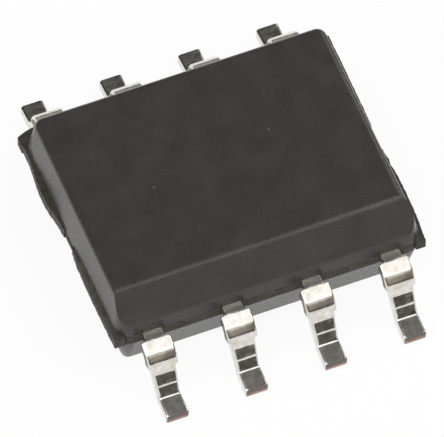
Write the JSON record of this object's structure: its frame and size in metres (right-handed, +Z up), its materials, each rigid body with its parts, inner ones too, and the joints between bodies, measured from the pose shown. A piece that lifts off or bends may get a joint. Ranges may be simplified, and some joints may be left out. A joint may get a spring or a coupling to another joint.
{
  "type": "microcontroller chip",
  "caption": "Black moulded small-outline chip package with a bevelled edge and two rows of plated gull-wing leads, with its lead frame, die and bond wires inside.",
  "frame": {"origin": "on the seating plane under the feet, below the middle of the moulded body", "axes": "+X along the rows of leads, +Y across the body from the bevelled side of leads 1 to 4 to the side of leads 5 to 8, +Z up from the board"},
  "size_m": [0.005, 0.006, 0.0016],
  "materials": {
    "moulding compound": "matte, finely mottled",
    "plated lead": "matte tin plating with bare copper at the cut ends",
    "copper alloy": "plain",
    "die-attach adhesive": "silver-filled",
    "silicon": "polished",
    "gold wire": "bright"
  },
  "bodies": {
    "root": {"moulded_body": "moulding compound", "lead_1": "plated lead", "lead_2": "plated lead", "lead_3": "plated lead", "lead_4": "plated lead", "lead_5": "plated lead", "lead_6": "plated lead", "lead_7": "plated lead", "lead_8": "plated lead", "die_paddle": "copper alloy", "die_attach": "die-attach adhesive", "silicon_die": "silicon", "bond_wire_1": "gold wire", "bond_wire_2": "gold wire", "bond_wire_3": "gold wire", "bond_wire_4": "gold wire", "bond_wire_5": "gold wire", "bond_wire_6": "gold wire", "bond_wire_7": "gold wire", "bond_wire_8": "gold wire"}
  },
  "joints": []
}
